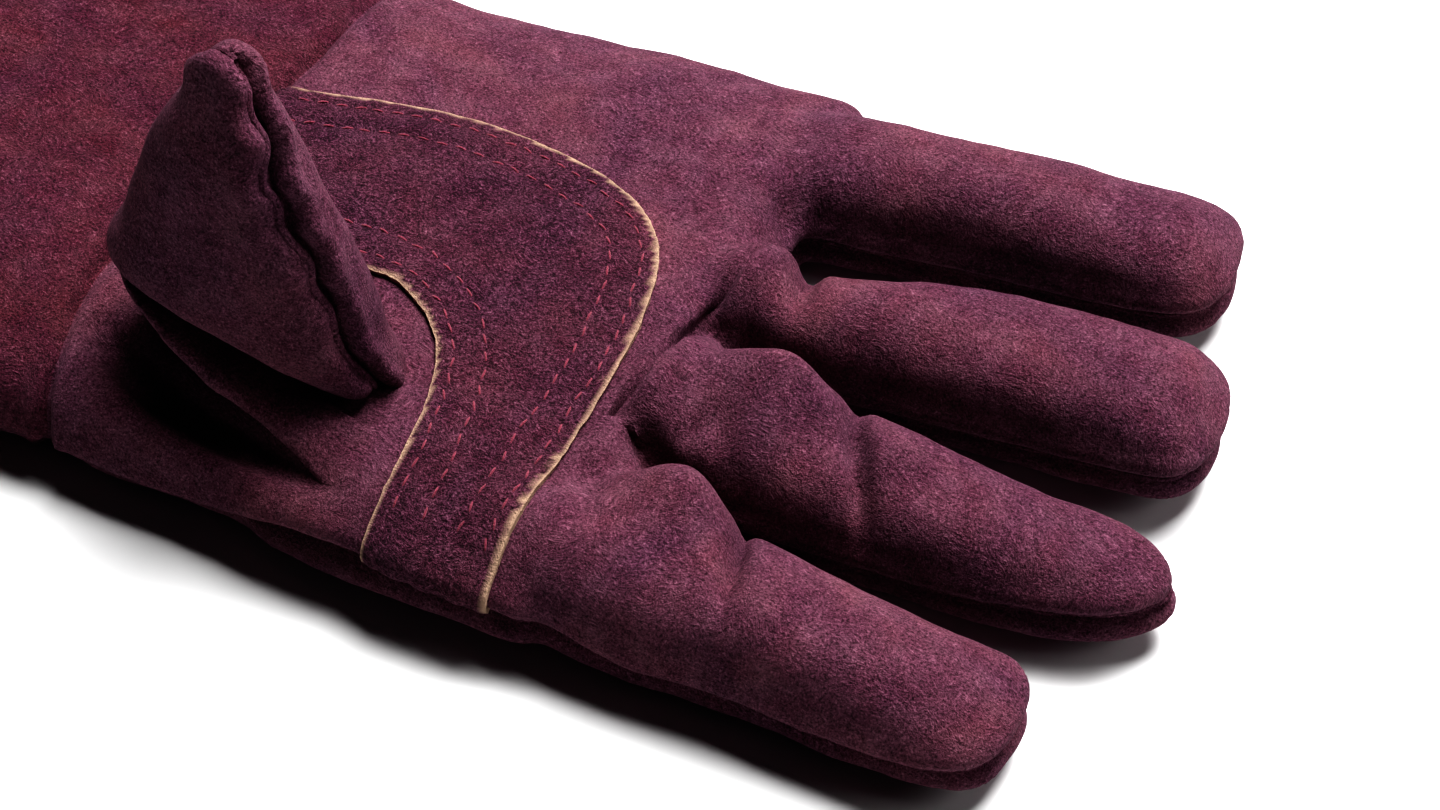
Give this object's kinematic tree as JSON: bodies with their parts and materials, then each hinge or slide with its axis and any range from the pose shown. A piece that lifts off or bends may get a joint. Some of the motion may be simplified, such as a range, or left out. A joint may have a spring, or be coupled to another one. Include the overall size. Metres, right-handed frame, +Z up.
{
  "type": "welding glove",
  "caption": "Right-hand leather welding glove with a long cuff, palm reinforcement and standing thumb, lying palm up with hinged fingers, thumb and wrist.",
  "frame": {"origin": "on the resting surface, under the middle of the whole glove lying palm up", "axes": "+X from the cuff to the fingertips, +Z up out of the palm, thumb side towards -Y"},
  "size_m": [0.35, 0.177, 0.102],
  "materials": {
    "palm_leather": "split suede, plum, paler where handled",
    "back_leather": "split suede, plum",
    "cuff_leather": "coarse split suede, maroon",
    "patch_leather": "rough split suede with a pale raw cut edge",
    "welt_leather": "split suede strip",
    "lining": "brushed cotton fleece",
    "thread": "waxed sewing thread"
  },
  "bodies": {
    "hand": {"palm_panel": "palm_leather", "back_panel": "back_leather", "two_finger_base": "palm_leather", "side_welts": "welt_leather", "hand_lining": "lining", "palm_patch": "patch_leather", "patch_stitching": "thread", "thumb_bartack": "thread"},
    "cuff": {"cuff_front": "cuff_leather", "cuff_back": "cuff_leather", "cuff_side_welts": "welt_leather", "cuff_lining": "lining", "cuff_hem": "cuff_leather", "hem_stitching": "thread"},
    "index": {"index_front": "palm_leather", "index_back": "back_leather", "index_welt": "welt_leather", "index_lining": "lining"},
    "middle": {"middle_front": "palm_leather", "middle_back": "back_leather", "middle_welt": "welt_leather", "middle_lining": "lining"},
    "ring": {"ring_front": "palm_leather", "ring_back": "back_leather", "ring_welt": "welt_leather", "ring_lining": "lining"},
    "little": {"little_front": "palm_leather", "little_back": "back_leather", "little_welt": "welt_leather", "little_lining": "lining"},
    "thumb": {"thumb_outer": "palm_leather", "thumb_inner": "palm_leather", "thumb_welt": "welt_leather", "thumb_lining": "lining"}
  },
  "joints": [
    {"name": "index_curl", "type": "hinge", "parent": "hand", "child": "index", "pos_m": [0.08395, -0.0555, 0.014], "axis": [-0.0533, -0.9986, 0], "range_deg": [-10, 70]},
    {"name": "middle_curl", "type": "hinge", "parent": "hand", "child": "middle", "pos_m": [0.08395, -0.019, 0.014], "axis": [-0.0165, -0.9999, 0], "range_deg": [-10, 70]},
    {"name": "ring_curl", "type": "hinge", "parent": "hand", "child": "ring", "pos_m": [0.08395, 0.016, 0.014], "axis": [0.0712, -0.9975, 0], "range_deg": [-10, 70]},
    {"name": "little_curl", "type": "hinge", "parent": "hand", "child": "little", "pos_m": [0.08395, 0.0535, 0.014], "axis": [0.1172, -0.9931, 0], "range_deg": [-10, 70]},
    {"name": "thumb_swing", "type": "hinge", "parent": "hand", "child": "thumb", "pos_m": [-0.00105, -0.0425, 0.029], "axis": [1, 0, 0], "range_deg": [-20, 45]},
    {"name": "wrist_bend", "type": "hinge", "parent": "hand", "child": "cuff", "pos_m": [-0.04205, 0.0025, 0.0135], "axis": [0, 1, 0], "range_deg": [-30, 30]}
  ]
}
